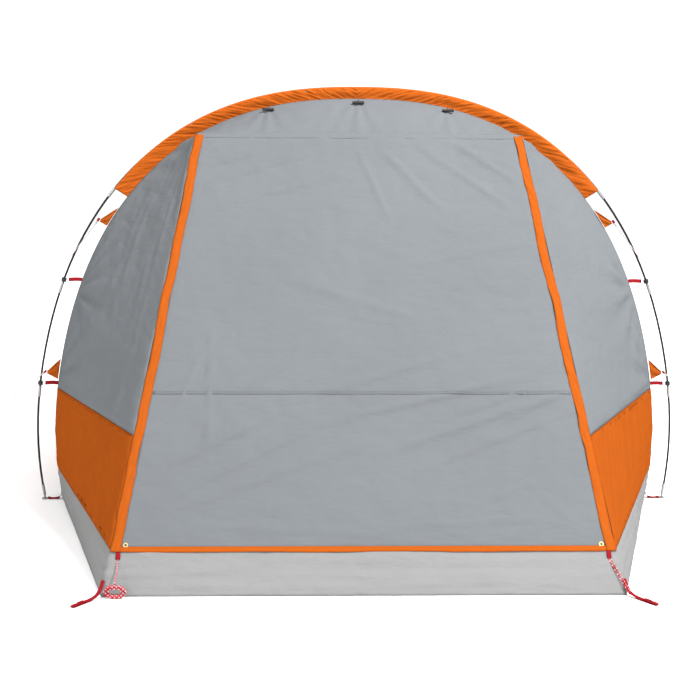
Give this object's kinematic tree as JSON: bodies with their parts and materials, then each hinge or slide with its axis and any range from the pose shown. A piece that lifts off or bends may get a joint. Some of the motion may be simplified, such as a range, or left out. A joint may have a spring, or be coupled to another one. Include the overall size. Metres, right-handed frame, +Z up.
{
  "type": "tunnel tent",
  "caption": "Three-hoop tunnel tent with a sloping zipped front door, hung inner cabin, groundsheet and front guylines.",
  "frame": {"origin": "centre of the pitched tent at ground level, under the middle of its box without the guylines", "axes": "+Z up, +Y from the front door towards the rear end, +X to the right of someone facing the front door"},
  "size_m": [3.7924, 4.675, 1.6649],
  "materials": {
    "pole_rod": "black fibreglass, slight gloss",
    "ferrule": "bright plated steel",
    "elastic": "braided elastic",
    "fly_orange": "coated woven polyester, orange",
    "fly_grey": "coated woven polyester, grey",
    "ground_sheet": "light grey laminated woven sheet, slight gloss",
    "zip_tape": "coil zip on woven tape",
    "plastic_black": "moulded black plastic",
    "eyelet_brass": "plated brass",
    "mesh_dark": "fine insect mesh",
    "cabin_cloth": "light breathable polyester",
    "webbing_red": "woven red webbing",
    "guy_cord": "thin braided cord, pale",
    "sill_cord": "braided cord, red and white fleck",
    "peg_steel": "plated steel wire"
  },
  "bodies": {
    "tent": {"awning_cord_left": "sill_cord", "awning_cord_right": "sill_cord", "awning_hank_left": "sill_cord", "cabin_shell": "cabin_cloth", "clip_straps": "webbing_red", "door_zip_left": "zip_tape", "door_zip_right": "zip_tape", "foot_ring_pins": "ferrule", "foot_straps": "webbing_red", "front_bay_lower_left": "fly_orange", "front_bay_lower_right": "fly_orange", "front_bay_roof": "fly_grey", "front_header": "fly_grey", "front_pole_rods": "pole_rod", "front_pole_sleeve": "fly_orange", "front_side_lower_left": "fly_orange", "front_side_lower_right": "fly_orange", "front_side_upper_left": "fly_grey", "front_side_upper_right": "fly_grey", "groundsheet": "ground_sheet", "guy_tabs": "fly_orange", "guyline_lower_left": "guy_cord", "guyline_lower_right": "guy_cord", "guyline_pegs": "peg_steel", "guyline_upper_left": "guy_cord", "guyline_upper_right": "guy_cord", "middle_pole_rods": "pole_rod", "middle_pole_sleeve": "fly_orange", "pole_clips": "plastic_black", "pole_ferrules": "ferrule", "pole_shock_cords": "elastic", "rear_bay_lower_left": "fly_orange", "rear_bay_lower_right": "fly_orange", "rear_bay_roof": "fly_grey", "rear_end_panel": "fly_grey", "rear_pole_rods": "pole_rod", "rear_pole_sleeve": "fly_orange", "rear_side_lower_left": "fly_orange", "rear_side_lower_right": "fly_orange", "rear_side_upper_left": "fly_grey", "rear_side_upper_right": "fly_grey", "rear_vent_mesh": "mesh_dark", "toggle_loops": "elastic", "webbing_loops": "webbing_red"},
    "front_door": {"front_door": "fly_grey", "door_hem": "fly_orange", "door_eyelets": "eyelet_brass", "storm_flap_left": "fly_orange", "storm_flap_right": "fly_orange"},
    "zip_slider_left": {"zip_slider_left": "plastic_black"},
    "zip_slider_right": {"zip_slider_right": "plastic_black"},
    "cabin_door": {"cabin_door": "cabin_cloth"},
    "rear_vent_flap": {"rear_vent_flap": "fly_grey"},
    "toggle_left": {"toggle_left": "plastic_black"},
    "toggle_middle": {"toggle_middle": "plastic_black"},
    "toggle_right": {"toggle_right": "plastic_black"},
    "guy_runner_upper_left": {"guy_runner_upper_left": "plastic_black"},
    "guy_runner_upper_right": {"guy_runner_upper_right": "plastic_black"},
    "guy_runner_lower_left": {"guy_runner_lower_left": "plastic_black"},
    "guy_runner_lower_right": {"guy_runner_lower_right": "plastic_black"}
  },
  "joints": [
    {"name": "front_door_lift", "type": "hinge", "parent": "tent", "child": "front_door", "pos_m": [0, -1.2925, 1.478], "axis": [-1, 0, 0], "range_deg": [0, 80]},
    {"name": "zip_left_slide", "type": "slide", "parent": "tent", "child": "zip_slider_left", "axis": [0.1341, 0.5318, 0.8362], "range_m": [0, 1.24]},
    {"name": "zip_right_slide", "type": "slide", "parent": "tent", "child": "zip_slider_right", "axis": [-0.1341, 0.5318, 0.8362], "range_m": [0, 1.24]},
    {"name": "cabin_door_swing", "type": "hinge", "parent": "tent", "child": "cabin_door", "pos_m": [-0.397, -0.3675, 0.7], "axis": [0, 0, -1], "range_deg": [0, 95]},
    {"name": "rear_vent_lift", "type": "hinge", "parent": "tent", "child": "rear_vent_flap", "pos_m": [0, 1.82497, 0.98621], "axis": [1, 0, 0], "range_deg": [0, 45]},
    {"name": "toggle_left_swing", "type": "hinge", "parent": "tent", "child": "toggle_left", "pos_m": [-0.35, -1.14221, 1.58428], "axis": [-1, 0, 0], "range_deg": [0, 60]},
    {"name": "toggle_middle_swing", "type": "hinge", "parent": "tent", "child": "toggle_middle", "pos_m": [0, -1.1417, 1.61504], "axis": [-1, 0, 0], "range_deg": [0, 60]},
    {"name": "toggle_right_swing", "type": "hinge", "parent": "tent", "child": "toggle_right", "pos_m": [0.35, -1.14221, 1.58428], "axis": [-1, 0, 0], "range_deg": [0, 60]},
    {"name": "guy_runner_upper_left_slide", "type": "slide", "parent": "tent", "child": "guy_runner_upper_left", "axis": [-0.612, 0.0298, -0.7903], "range_m": [-0.15, 0.12]},
    {"name": "guy_runner_upper_right_slide", "type": "slide", "parent": "tent", "child": "guy_runner_upper_right", "axis": [0.612, 0.0298, -0.7903], "range_m": [-0.15, 0.12]},
    {"name": "guy_runner_lower_left_slide", "type": "slide", "parent": "tent", "child": "guy_runner_lower_left", "axis": [-0.7514, -0.047, -0.6581], "range_m": [-0.15, 0.12]},
    {"name": "guy_runner_lower_right_slide", "type": "slide", "parent": "tent", "child": "guy_runner_lower_right", "axis": [0.7514, -0.047, -0.6581], "range_m": [-0.15, 0.12]}
  ]
}
